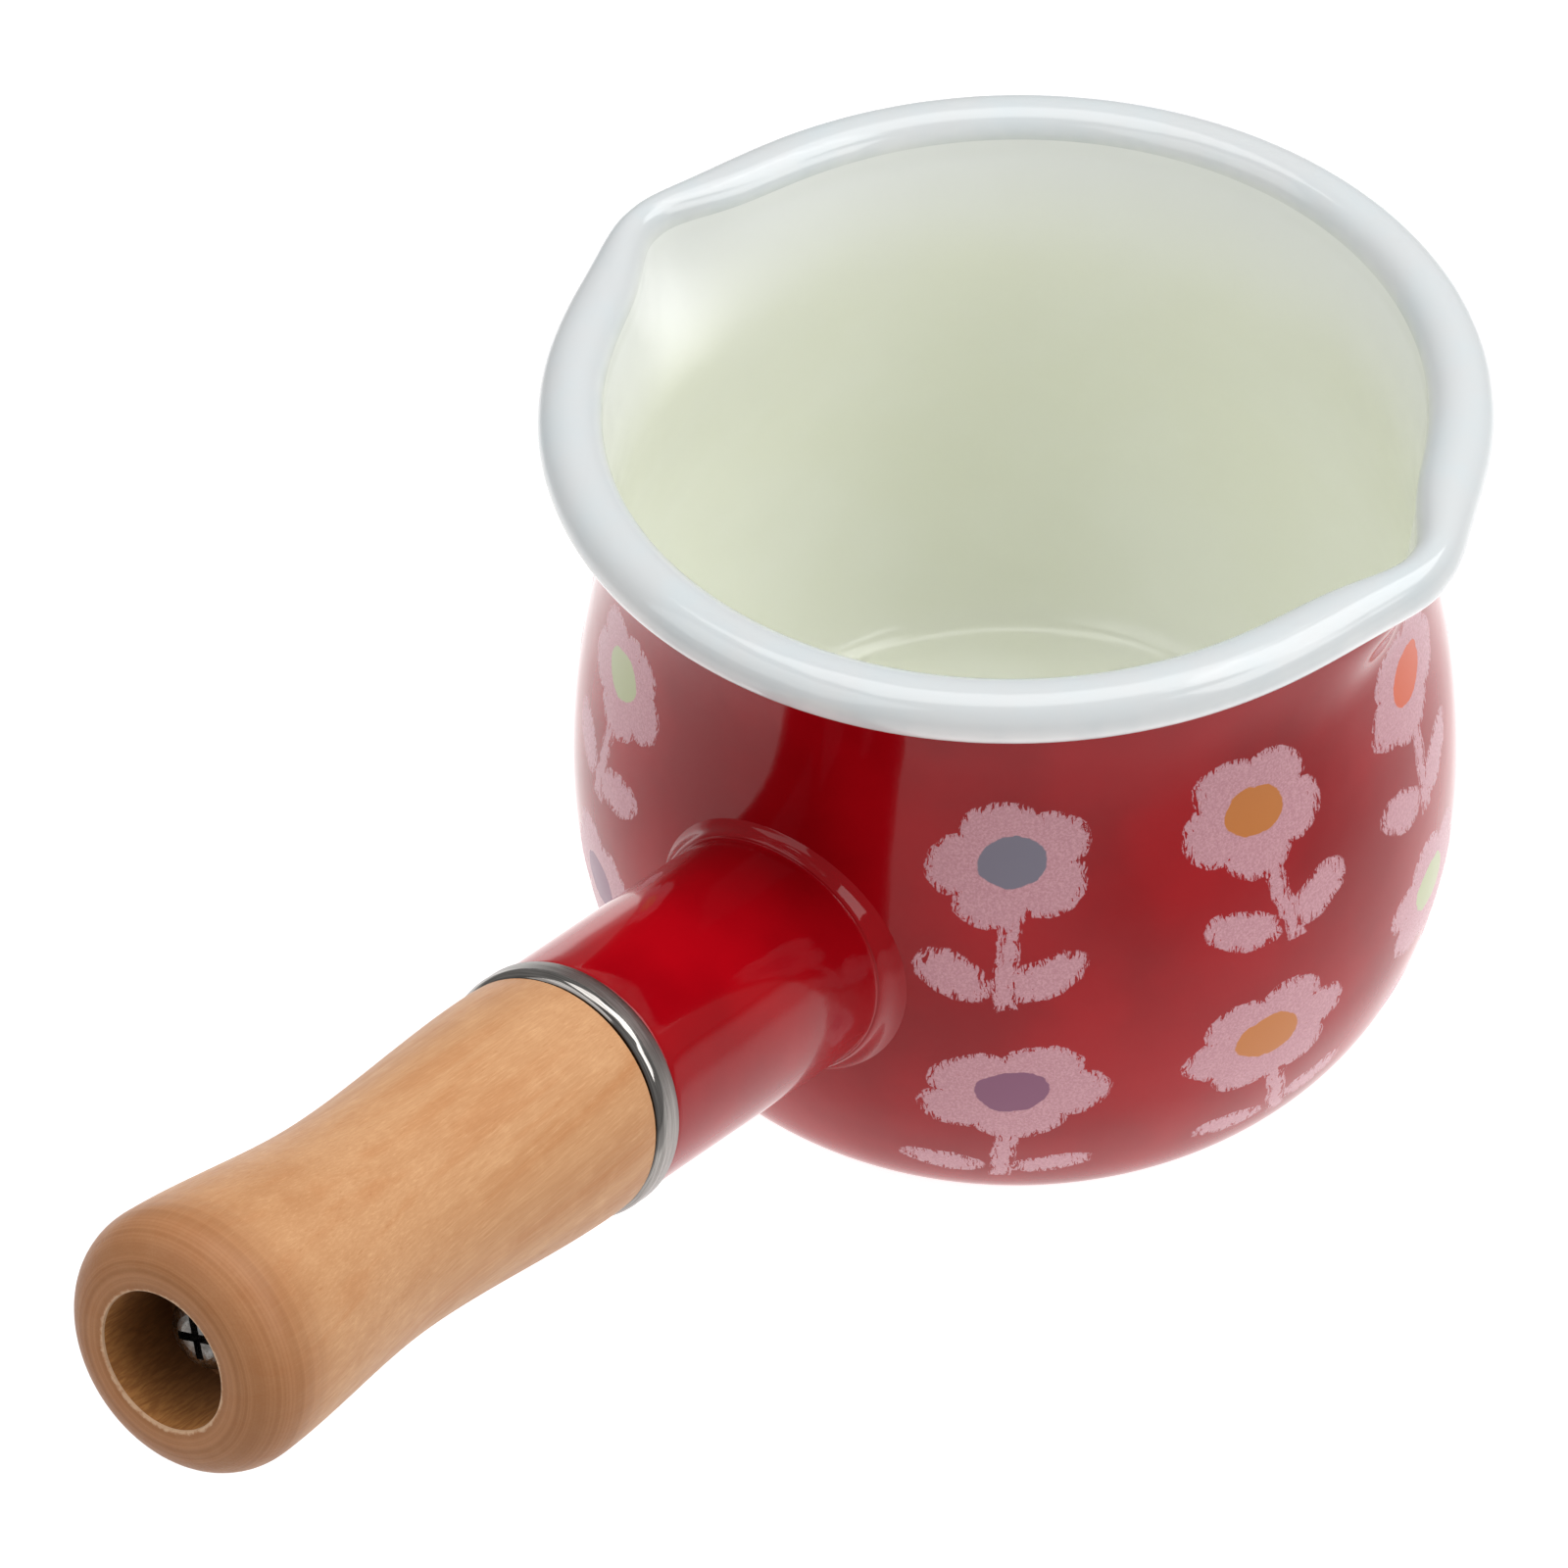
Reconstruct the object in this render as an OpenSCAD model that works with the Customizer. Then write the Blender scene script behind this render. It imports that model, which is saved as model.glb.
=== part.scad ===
// Small enamelled pouring pot with two pressed spouts, a welded socket
// and a turned wooden grip held on by one long screw.
// Millimetres. Origin at the centre of the base, +Z up, grip towards -X,
// spouts towards +Y and -Y.

/* [Pot] */
// Height from base to the top of the rolled rim
pot_height = 112.7; // [111.7:0.1:113.7]
// Outside radius of the rolled rim
rim_radius = 68; // [67.5:0.1:68.5]
// Width of the rolled rim, seen from above
bead_width = 9.3; // [9:0.1:9.5]
// Height of the rolled rim, seen from the side
bead_depth = 7.5; // [7.2:0.1:7.7]
// Widest radius of the belly
belly_radius = 69.7; // [69.2:0.1:70]
// Narrowest radius below the rim
neck_radius = 59.9; // [59.7:0.1:60.1]
// Radius of the flat base
base_radius = 55; // [54:0.5:56]
// Thickness of the enamelled steel wall
wall = 1.2; // [1.1:0.1:1.5]

/* [Spouts] */
// Reach of each spout beyond the round rim
spout_reach = 2.5; // [2.3:0.1:2.7]
// Width of the rolled rim at a spout's tip
spout_bead_width = 6.5; // [6.3:0.1:6.8]
// Depth of the pressed channel below the rim
spout_depth = 27; // [25:0.5:28]
// Plan radius of the spout's outer edge
spout_curve = 27; // [26.5:0.1:28]
// Angle by which the line through both spouts is turned from square to the handle
spout_turn = -3; // [-4:0.5:0]

/* [Socket] */
// Upward tilt of the handle in degrees
handle_tilt = 22.7; // [22:0.1:23.5]
// Distance from the pot's axis to the socket's mouth
mouth_reach = 114.2; // [113.5:0.1:115]
// Height of the socket's mouth above the base
mouth_height = 73.2; // [72.5:0.1:74]
// Outside radius of the socket at its mouth
socket_radius = 17.35; // [17.2:0.05:17.5]
// Thickness of the socket's wall
socket_wall = 1.4; // [1.2:0.1:1.5]
// Radius of the welded foot
foot_radius = 22.4; // [21.8:0.1:22.8]

/* [Grip] */
// Length of the turned wooden grip
grip_length = 76; // [74:0.5:78]
// Radius of the grip where it meets the ferrule
grip_root_radius = 17.3; // [17.1:0.05:17.4]
// Radius of the grip's waist
grip_waist_radius = 14.95; // [14.7:0.05:15.3]
// Radius of the grip's swollen end
grip_end_radius = 16.7; // [16.4:0.05:17]
// Radius of the screw well in the grip's end
well_radius = 8.8; // [8.6:0.05:9]
// Depth of the screw well
well_depth = 12; // [12:0.1:12.4]
// Outside radius of the steel ferrule
ferrule_radius = 17.9; // [17.8:0.05:18]
// Length of the ferrule's visible band
ferrule_length = 4.2; // [4:0.1:4.4]

/* [Screw] */
// Radius of the long screw
screw_radius = 2.5; // [2.4:0.05:2.5]
// Length of the screw below its head
screw_length = 90; // [89:0.5:91]
// Radius of the screw's head
head_radius = 4.9; // [4.7:0.1:5.1]
// Height of the screw's head
head_height = 3.7; // [3.4:0.1:4]

/* [Hidden] */
$fn = 96;

// Gap that keeps two parts of different bodies apart
slack = 0.3;
// Gap between the screw and the thread it turns in
thread_gap = 0.05;
// Gap round the grip's tenon, and between a welded edge and the wall it is welded to
tenon_gap = 0.1;
weld_gap = 0.01;

// Pot outline: heights and radii of the knots that the wall passes through
heel_height = 16;
heel_radius = 68.2;
belly_height = 30;
shoulder_height = 61.5;
shoulder_radius = 65.9;
neck_height = 95;
bead_height = pot_height - bead_depth / 2;
bead_steps = 28;
flare_height = bead_height + 0.6;
flare_radius = neck_radius + 0.4;
heel_slope = 0.2;
shoulder_slope = -0.23;
flare_slope = 0.08;

// Spout channel: it starts below the neck and is deepest under the rim
spout_axis = rim_radius + spout_reach - spout_curve;
spout_foot = pot_height - spout_depth;
spout_blend = 0.42;
spout_full = pot_height - spout_depth * spout_blend;
spout_push = rim_radius + spout_reach - spout_bead_width - flare_radius + wall;
spout_root = -0.8;
spout_thinning = 0.5;
spout_half_width = 13.6;

// Handle stations, measured outwards along its axis from the socket's mouth
foot_station = -56;
flare_station = -42;
socket_growth = 0.026;
socket_foot_radius = socket_radius - socket_growth * foot_station;
foot_pad = 1.3;
spigot_length = 5;
spigot_radius = 15.2;
ferrule_wall = 1.4;
ferrule_web = 1.5;
ferrule_round = 1.7;
tenon_radius = ferrule_radius - ferrule_wall * 2 - slack;
grip_start = ferrule_length + slack;
grip_end = grip_start + grip_length;
waist_share = 0.54;
nose_length = 6.8;
grip_waist = grip_start + grip_length * waist_share;
grip_swell = grip_end - nose_length;
grip_face_radius = 10.8;
well_floor = grip_end - well_depth;
shaft_hole_radius = screw_radius + 0.5;
washer_radius = 5;
washer_thickness = 1;
spring_radius = 4.4;
spring_thickness = 1.2;
spring_split = 0.9;
head_seat = well_floor + washer_thickness + spring_thickness;
screw_tip = head_seat - screw_length;

// Bracket and nut inside the socket
bracket_top = -7;
bracket_strap = 2;
bracket_span = 9;
bracket_width = 14;
nut_length = 8;
nut_top = bracket_top - bracket_strap;
nut_across_corners = 4.62 * 2;

// Cubic curve between two knots [height, radius, slope]
function knot_curve(a, b, t) =
    let (span = b[0] - a[0],
         u = t * t * t,
         v = t * t)
    [(2 * u - 3 * v + 1) * a[1] + (u - 2 * v + t) * span * a[2]
        + (3 * v - 2 * u) * b[1] + (u - v) * span * b[2],
     a[0] + span * t];

// Rounded heel between the flat base and the side, as a cubic Bezier
function heel_curve(t) =
    let (s = 1 - t,
         p = [base_radius, 0],
         q = [base_radius + 7, 0],
         r = [heel_radius - heel_slope * heel_height * 0.62, heel_height * 0.38],
         e = [heel_radius, heel_height])
    s * s * s * p + 3 * s * s * t * q + 3 * s * t * t * r + t * t * t * e;

heel_knot = [heel_height, heel_radius, heel_slope];
belly_knot = [belly_height, belly_radius, 0];
shoulder_knot = [shoulder_height, shoulder_radius, shoulder_slope];
neck_knot = [neck_height, neck_radius, 0];
flare_knot = [flare_height, flare_radius, flare_slope];

// Outside of the wall as [radius, height] points, from base to rim
wall_line = concat(
    [for (i = [0:8]) heel_curve(i / 8)],
    [for (i = [1:4]) knot_curve(heel_knot, belly_knot, i / 4)],
    [for (i = [1:7]) knot_curve(belly_knot, shoulder_knot, i / 7)],
    [for (i = [1:8]) knot_curve(shoulder_knot, neck_knot, i / 8)],
    [for (i = [1:5]) knot_curve(neck_knot, flare_knot, i / 5)]);

// The same line moved out by d, square to the wall
function unit(v) = v / norm(v);
function normal_at(line, i) =
    let (a = line[max(i - 1, 0)],
         b = line[min(i + 1, len(line) - 1)],
         t = unit(b - a))
    [t[1], -t[0]];
function moved(line, d) =
    [for (i = [0:len(line) - 1])
        i == 0 ? [line[0][0], -d] : line[i] + d * normal_at(line, i)];

// Solid of revolution that fills the space inside a wall line up to a height
module filled(line, top = flare_height) {
    last = line[len(line) - 1];
    rotate_extrude()
        polygon(concat([[0, line[0][1]]], line, [[last[0], top], [0, top]]));
}

// How far the spout is pressed outwards at a height
function push_at(z) =
    let (t = min(max((z - spout_foot) / (spout_full - spout_foot), 0), 1))
    spout_root + (spout_push - spout_root) * t * t * (3 - 2 * t);

// Upper wall line moved out by d, seen from the spout's own axis
neck_line = [for (p = wall_line) if (p[1] > spout_foot) p];
function spout_line(d) =
    [for (i = [0:len(neck_line) - 1])
        let (p = neck_line[i] + d * normal_at(neck_line, i))
        [p[0] + push_at(p[1]) - spout_axis, p[1]]];

// Rolled edge: an oval of the given width, turned about the axis
module bead(outer, width, depth) {
    translate([0, 0, bead_height])
        rotate_extrude()
            polygon([for (i = [0:bead_steps - 1])
                let (a = 360 * i / bead_steps)
                [outer - width / 2 + width / 2 * cos(a), depth / 2 * sin(a)]]);
}

module spout_space() {
    line = spout_line(-wall);
    translate([0, spout_axis, 0])
        filled(line, pot_height + 1);
}

module spout_skin() {
    intersection() {
        translate([0, spout_axis, 0])
            union() {
                filled(spout_line(0));
                bead(spout_curve, spout_bead_width, bead_depth - spout_thinning);
            }
        translate([-spout_half_width, neck_radius - 3, spout_foot])
            cube([spout_half_width * 2, bead_width * 2, spout_depth + 1]);
    }
}

module both_spouts() {
    for (side = [0, 180])
        rotate([0, 0, side])
            children();
}

module round_shell() {
    filled(wall_line);
    bead(rim_radius, bead_width, bead_depth);
}

module pot_inside() {
    filled(moved(wall_line, -wall), pot_height + 1);
}

module pot_body() {
    color("firebrick")
        rotate([0, 0, spout_turn])
            difference() {
                union() {
                    round_shell();
                    both_spouts()
                        spout_skin();
                }
                pot_inside();
                both_spouts()
                    spout_space();
            }
}

// Moves what follows to the socket's mouth, with +Z along the handle
module on_handle() {
    translate([-mouth_reach, 0, mouth_height])
        rotate([0, handle_tilt - 90, 0])
            children();
}

module tube_between(a, b, r) {
    translate([0, 0, a])
        cylinder(h = b - a, r = r);
}

module handle_socket() {
    color("crimson")
        difference() {
            union() {
                on_handle() {
                    translate([0, 0, foot_station])
                        cylinder(h = -slack - foot_station, r1 = socket_foot_radius,
                                 r2 = socket_radius);
                    translate([0, 0, foot_station])
                        cylinder(h = flare_station - foot_station, r1 = foot_radius,
                                 r2 = socket_radius - socket_growth * flare_station);
                }
                intersection() {
                    on_handle()
                        tube_between(foot_station - 6, flare_station, foot_radius);
                    filled(moved(wall_line, foot_pad));
                }
            }
            filled(moved(wall_line, weld_gap));
            on_handle()
                translate([0, 0, foot_station - 6])
                    cylinder(h = 6 - foot_station + 1, r = socket_radius - socket_wall);
        }
}

module socket_bracket() {
    color("silver")
        difference() {
            on_handle()
                difference() {
                    translate([-bracket_span - bracket_strap, -bracket_width / 2, foot_station - 6])
                        cube([2 * (bracket_span + bracket_strap), bracket_width,
                              bracket_top - foot_station + 6]);
                    translate([-bracket_span, -bracket_width, foot_station - 7])
                        cube([2 * bracket_span, 2 * bracket_width,
                              bracket_top - bracket_strap - foot_station + 7]);
                    tube_between(nut_top - 1, bracket_top + 1, shaft_hole_radius);
                }
            filled(moved(wall_line, weld_gap));
        }
}

module bracket_nut() {
    color("gainsboro")
        on_handle()
            difference() {
                translate([0, 0, nut_top - nut_length])
                    cylinder(h = nut_length, d = nut_across_corners, $fn = 6);
                tube_between(nut_top - nut_length - 1, nut_top + 1, screw_radius + thread_gap);
            }
}

module ferrule() {
    color("silver")
        on_handle()
            difference() {
                rotate_extrude()
                    polygon(concat(
                        [[0, -spigot_length], [spigot_radius, -spigot_length],
                         [spigot_radius, 0], [ferrule_radius, 0]],
                        [for (a = [0:15:90])
                            [ferrule_radius - ferrule_round * (1 - cos(a)),
                             ferrule_length - ferrule_round * (1 - sin(a))]],
                        [[0, ferrule_length]]));
                tube_between(-spigot_length - 1, 0, spigot_radius - ferrule_wall);
                tube_between(ferrule_web, ferrule_length + 1, tenon_radius + tenon_gap);
                tube_between(-1, ferrule_length, shaft_hole_radius);
            }
}

// Turned side of the grip: gentle waist, swollen end and rounded nose
grip_root_knot = [grip_start, grip_root_radius, 0];
grip_waist_knot = [grip_waist, grip_waist_radius, 0];
grip_swell_knot = [grip_swell, grip_end_radius, 0.01];
grip_line = concat(
    [for (i = [0:10]) knot_curve(grip_root_knot, grip_waist_knot, i / 10)],
    [for (i = [1:8]) knot_curve(grip_waist_knot, grip_swell_knot, i / 8)],
    [for (a = [12:13:90])
        [grip_face_radius + (grip_end_radius - grip_face_radius) * cos(a),
         grip_swell + (grip_end - grip_swell) * sin(a)]]);

module wooden_grip() {
    color("burlywood")
        on_handle()
            difference() {
                rotate_extrude()
                    polygon(concat(
                        [[0, ferrule_web], [tenon_radius, ferrule_web], [tenon_radius, grip_start]],
                        grip_line,
                        [[grip_face_radius, grip_end], [0, grip_end]]));
                tube_between(well_floor, grip_end + 1, well_radius);
                tube_between(ferrule_web - 1, well_floor + 1, shaft_hole_radius);
            }
}

module flat_washer() {
    color("silver")
        on_handle()
            difference() {
                tube_between(well_floor, well_floor + washer_thickness, washer_radius);
                tube_between(well_floor - 1, head_seat, screw_radius + slack);
            }
}

module spring_washer() {
    color("dimgray")
        on_handle()
            difference() {
                tube_between(head_seat - spring_thickness, head_seat, spring_radius);
                tube_between(well_floor, head_seat + 1, screw_radius + slack);
                translate([0, -spring_split / 2, well_floor])
                    cube([washer_radius + 1, spring_split, well_depth]);
            }
}

module handle_screw() {
    rim_height = head_height * 0.4;
    dome = head_height - rim_height;
    recess = head_radius * 1.15;
    slot = 1.1;
    color("lightgray")
        on_handle()
            difference() {
                rotate_extrude()
                    polygon(concat(
                        [[0, screw_tip], [screw_radius * 0.7, screw_tip],
                         [screw_radius, screw_tip + screw_radius * 0.4],
                         [screw_radius, head_seat], [head_radius, head_seat]],
                        [for (a = [0:15:90])
                            [head_radius * 0.45 + head_radius * 0.55 * cos(a),
                             head_seat + rim_height + dome * sin(a)]],
                        [[0, head_seat + head_height]]));
                for (turn = [20, 110])
                    rotate([0, 0, turn])
                        translate([-recess / 2, -slot / 2, head_seat + head_height * 0.45])
                            cube([recess, slot, head_height]);
            }
}

pot_body();
handle_socket();
socket_bracket();
bracket_nut();
ferrule();
wooden_grip();
flat_washer();
spring_washer();
handle_screw();
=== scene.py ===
"""Looks of a small enamelled pouring pot with a wooden grip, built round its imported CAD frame."""

import math

import bmesh
import bpy
from mathutils import Matrix, Vector


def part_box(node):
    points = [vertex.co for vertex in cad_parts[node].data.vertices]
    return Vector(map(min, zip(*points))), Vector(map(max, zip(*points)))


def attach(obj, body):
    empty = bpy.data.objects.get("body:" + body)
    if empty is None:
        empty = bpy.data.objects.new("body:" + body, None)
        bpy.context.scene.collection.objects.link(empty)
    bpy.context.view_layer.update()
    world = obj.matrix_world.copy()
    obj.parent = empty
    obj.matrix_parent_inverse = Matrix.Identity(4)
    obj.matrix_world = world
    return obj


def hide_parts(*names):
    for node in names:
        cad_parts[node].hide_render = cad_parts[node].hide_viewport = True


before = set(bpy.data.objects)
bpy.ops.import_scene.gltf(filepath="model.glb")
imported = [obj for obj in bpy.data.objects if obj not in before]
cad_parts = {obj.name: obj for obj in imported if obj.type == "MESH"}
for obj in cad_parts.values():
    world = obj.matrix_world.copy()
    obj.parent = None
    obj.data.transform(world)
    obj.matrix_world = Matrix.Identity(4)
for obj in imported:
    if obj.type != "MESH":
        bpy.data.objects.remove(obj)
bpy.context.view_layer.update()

MM = 0.001

# Pot, in millimetres: heights and radii that the wall passes through
POT_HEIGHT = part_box("pot_body")[1].z / MM
RIM_RADIUS = 68.0
BEAD_WIDTH = 9.3
BEAD_DEPTH = 7.5
BEAD_CENTRE = RIM_RADIUS - BEAD_WIDTH / 2
BEAD_HEIGHT = POT_HEIGHT - BEAD_DEPTH / 2
BASE_RADIUS = 55.0
WALL = 1.2
NECK_RADIUS = 59.9
NECK_HEIGHT = 95.0
# Knots of the side: height, radius, slope
HEEL = (16.0, 68.2, 0.2)
BELLY = (30.0, 69.7, 0.0)
SHOULDER = (61.5, 65.9, -0.23)
NECK = (NECK_HEIGHT, NECK_RADIUS, 0.0)
FLARE = (BEAD_HEIGHT + 0.6, NECK_RADIUS + 0.4, 0.08)

# Spouts: pressed channels under the rim, turned a little from square to the handle
SPOUT_TURN = -3.0
SPOUT_REACH = 2.5
SPOUT_BEAD_WIDTH = 6.5
SPOUT_HALF_ANGLE = 7.6
SPOUT_SHARPNESS = 1.55
SPOUT_ROUNDING = 2.0
SPOUT_FOOT = 84.0
SPOUT_FULL = 104.0

# Handle, in millimetres along its own axis from the socket's mouth
HANDLE_TILT = math.radians(22.7)
MOUTH = Vector((-114.2, 0.0, 73.2))
SOCKET_RADIUS = 17.35
SOCKET_GROWTH = 0.026
SOCKET_WALL = 1.4
# The weld collar stands this much further out, as a share of its height, at the sides than on top
COLLAR_GROWTH = 1.0
# The straight tube ends this far from the wall on top, and this much more towards the underside
COLLAR_START = 3.8
COLLAR_SLANT = 3.6
SLACK = 0.3
FERRULE_RADIUS = 17.9
FERRULE_LENGTH = 4.2
FERRULE_ROUND = 1.7
FERRULE_WEB = 1.5
SPIGOT_RADIUS = 15.2
SPIGOT_WALL = 1.4
SPIGOT_LENGTH = 5.0
TENON_RADIUS = FERRULE_RADIUS - 2.8 - SLACK
GRIP_START = FERRULE_LENGTH + SLACK
GRIP_LENGTH = 76.0
GRIP_END = GRIP_START + GRIP_LENGTH
GRIP_ROOT = (GRIP_START, 17.3, 0.0)
GRIP_WAIST = (GRIP_START + GRIP_LENGTH * 0.54, 14.95, 0.0)
GRIP_SWELL = (GRIP_END - 6.8, 16.7, 0.01)
GRIP_FACE_RADIUS = 10.8
WELL_RADIUS = 8.8
WELL_DEPTH = 12.0
SHAFT_HOLE_RADIUS = 3.0

HANDLE_OUT = Vector((-math.cos(HANDLE_TILT), 0.0, math.sin(HANDLE_TILT)))
HANDLE_UP = Vector((math.sin(HANDLE_TILT), 0.0, math.cos(HANDLE_TILT)))
HANDLE_SIDE = HANDLE_OUT.cross(HANDLE_UP)
HANDLE_MATRIX = Matrix.Translation(MOUTH * MM) @ Matrix(
    (HANDLE_UP, HANDLE_SIDE, HANDLE_OUT)
).transposed().to_4x4()

# Print: flowers in two rows round the pot, with the handle's place left blank
PRINT_COLUMNS = 11
PRINT_RADIUS = 66.0
UPPER_ROW = 77.0
LOWER_ROW = 35.0
FLOWER_RADIUS = 9.2
PETAL_LENGTH = 2.6
STEM_HALF_WIDTH = 1.7
EYE_WIDTH = 5.2
EYE_HEIGHT = 4.3

# Heights in metres between which the cream inside turns white
NECK_FADE = (84 * MM, 110 * MM)

# Numbers of sides of the turned pieces, and the distance in metres within which points are one
POT_STEPS = 360
SOCKET_STEPS = 128
HANDLE_STEPS = 160
FLAT_RINGS = 6
ROLL_STEPS = 40
SAME_POINT = 1e-7

# Studio, in metres and degrees; the camera was fitted to the photo's perspective
WHITE = (1.0, 1.0, 1.0, 1.0)
WORLD_STRENGTH = 0.32
LIGHTS_AIM = Vector((0.0, 0.0, 0.06))
CAMERA_TURN = (-53.466, 47.34, -4.082)
CAMERA_TARGET = Vector((-0.04413, 0.01268, 0.05995))
CAMERA_DISTANCE = 0.51172
CAMERA_LENS = 79.474


# ---------------------------------------------------------------- shapes


def smoothstep(t):
    t = min(max(t, 0.0), 1.0)
    return t * t * (3 - 2 * t)


def knot_curve(a, b, t):
    """Cubic between two knots (height, radius, slope), as (radius, height)."""
    span = b[0] - a[0]
    u, v = t**3, t**2
    radius = (2 * u - 3 * v + 1) * a[1] + (u - 2 * v + t) * span * a[2]
    radius += (3 * v - 2 * u) * b[1] + (u - v) * span * b[2]
    return radius, a[0] + span * t


def bezier(points, t):
    s = 1 - t
    weights = (s**3, 3 * s * s * t, 3 * s * t * t, t**3)
    return tuple(sum(w * p[i] for w, p in zip(weights, points)) for i in (0, 1))


def curve_between(a, b, steps):
    return [knot_curve(a, b, i / steps) for i in range(1, steps + 1)]


def outer_line():
    """Outside of the wall from the edge of the base to the rim."""
    heel = (
        (BASE_RADIUS, 0.0),
        (BASE_RADIUS + 7, 0.0),
        (HEEL[1] - HEEL[2] * HEEL[0] * 0.62, HEEL[0] * 0.38),
        (HEEL[1], HEEL[0]),
    )
    line = [bezier(heel, i / 16) for i in range(17)]
    line += curve_between(HEEL, BELLY, 8)
    line += curve_between(BELLY, SHOULDER, 14)
    line += curve_between(SHOULDER, NECK, 16)
    return line + curve_between(NECK, FLARE, 10)


OUTER_LINE = outer_line()


def outer_radius(height):
    """Radius of the outside of the wall at a height, in millimetres."""
    for a, b in zip(OUTER_LINE, OUTER_LINE[1:]):
        if height <= b[1]:
            share = (height - a[1]) / max(b[1] - a[1], 1e-9)
            return a[0] + (b[0] - a[0]) * share
    return OUTER_LINE[-1][0]


def moved_inwards(line, distance):
    moved = []
    for i, point in enumerate(line):
        a, b = line[max(i - 1, 0)], line[min(i + 1, len(line) - 1)]
        dr, dz = b[0] - a[0], b[1] - a[1]
        size = math.hypot(dr, dz)
        moved.append((point[0] - distance * dz / size, point[1] + distance * dr / size))
    return moved


def new_piece(name, bm, body, nodes, materials, matrix=None):
    """Makes a smooth piece of a bmesh in metres, which rides on a body and stands for CAD nodes.

    The matrix moves the points themselves, so the object's own axes stay those of the row frame.
    """
    if matrix is not None:
        bm.transform(matrix)
    bmesh.ops.recalc_face_normals(bm, faces=bm.faces)
    mesh = bpy.data.meshes.new(name)
    bm.to_mesh(mesh)
    bm.free()
    mesh.shade_smooth()
    for material in materials:
        mesh.materials.append(material)
    piece = bpy.data.objects.new(name, mesh)
    bpy.context.scene.collection.objects.link(piece)
    bpy.context.view_layer.update()
    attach(piece, body)
    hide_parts(*nodes)
    return piece


def skin_rows(bm, rows, sections):
    """Joins rings of vertices into quads; sections gives each band's material index."""
    rings = [[bm.verts.new(point) for point in row] for row in rows]
    for ring, following, section in zip(rings, rings[1:], sections):
        count = len(ring)
        for i in range(count):
            j = (i + 1) % count
            face = bm.faces.new((ring[i], ring[j], following[j], following[i]))
            face.material_index = section
    return rings


def cap(bm, ring, section):
    face = bm.faces.new(ring)
    face.material_index = section


def lathe(profile, steps):
    """Rows of points, in metres, for a profile of (radius, station, section) turned about Z."""
    rows = []
    for radius, station, _ in profile:
        rows.append(
            [
                (
                    radius * math.cos(2 * math.pi * i / steps) * MM,
                    radius * math.sin(2 * math.pi * i / steps) * MM,
                    station * MM,
                )
                for i in range(steps)
            ]
        )
    return rows


# ---------------------------------------------------------------- node helper


class Shader:
    """A material built with plain calls; sockets and numbers may be mixed as inputs."""

    def __init__(self, name, **surface):
        self.material = bpy.data.materials.new(name)
        self.material.use_nodes = True
        self.tree = self.material.node_tree
        self.surface = self.tree.nodes["Principled BSDF"]
        for key, value in surface.items():
            self.surface.inputs[key.replace("_", " ")].default_value = value
        self.place = self.add("ShaderNodeTexCoord").outputs["Object"]

    def along_handle(self):
        """Puts the pattern on the handle's own axes, with Z outwards from the socket's mouth."""
        inputs = {0: self.place, 1: MOUTH * MM}
        away = self.add("ShaderNodeVectorMath", inputs, operation="SUBTRACT").outputs[0]
        parts = [
            self.add("ShaderNodeVectorMath", {0: away, 1: axis}, operation="DOT_PRODUCT").outputs[1]
            for axis in (HANDLE_UP, HANDLE_SIDE, HANDLE_OUT)
        ]
        self.place = self.joined(*parts)

    def add(self, kind, inputs=None, **settings):
        node = self.tree.nodes.new(kind)
        for key, value in settings.items():
            setattr(node, key, value)
        for key, value in (inputs or {}).items():
            self.feed(node.inputs[key], value)
        return node

    def feed(self, socket, value):
        if isinstance(value, bpy.types.NodeSocket):
            self.tree.links.new(value, socket)
        else:
            socket.default_value = value

    def set(self, name, value):
        self.feed(self.surface.inputs[name], value)

    def math(self, operation, *values):
        inputs = dict(enumerate(values))
        return self.add("ShaderNodeMath", inputs, operation=operation).outputs[0]

    def plus(self, a, b):
        return self.math("ADD", a, b)

    def minus(self, a, b):
        return self.math("SUBTRACT", a, b)

    def times(self, a, b):
        return self.math("MULTIPLY", a, b)

    def ramp(self, value, low, high, to_low=0.0, to_high=1.0):
        inputs = {0: value, 1: low, 2: high, 3: to_low, 4: to_high}
        node = self.add("ShaderNodeMapRange", inputs, interpolation_type="SMOOTHSTEP")
        return node.outputs[0]

    def scaled(self, vector, scale):
        inputs = {"Vector": vector, "Scale": scale}
        return self.add("ShaderNodeMapping", inputs).outputs[0]

    def noise(self, scale, detail=2.0, roughness=0.5, vector=None, distortion=0.0):
        inputs = {
            "Vector": self.place if vector is None else vector,
            "Scale": scale,
            "Detail": detail,
            "Roughness": roughness,
            "Distortion": distortion,
        }
        return self.add("ShaderNodeTexNoise", inputs).outputs["Fac"]

    def mix(self, share, a, b):
        inputs = {"Factor": share, 6: a, 7: b}
        node = self.add("ShaderNodeMix", inputs, data_type="RGBA")
        return node.outputs[2]

    def axes(self, vector=None):
        vector = self.place if vector is None else vector
        node = self.add("ShaderNodeSeparateXYZ", {0: vector})
        return node.outputs[0], node.outputs[1], node.outputs[2]

    def joined(self, x, y, z):
        return self.add("ShaderNodeCombineXYZ", {0: x, 1: y, 2: z}).outputs[0]

    def bump(self, height, distance):
        inputs = {"Height": height, "Distance": distance, "Strength": 1.0}
        return self.add("ShaderNodeBump", inputs).outputs[0]


def rgb(red, green, blue):
    """Linear colour from display values of 0 to 255."""
    linear = []
    for value in (red, green, blue):
        value /= 255
        linear.append(value / 12.92 if value <= 0.04045 else ((value + 0.055) / 1.055) ** 2.4)
    return (*linear, 1.0)


# ---------------------------------------------------------------- materials

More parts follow.
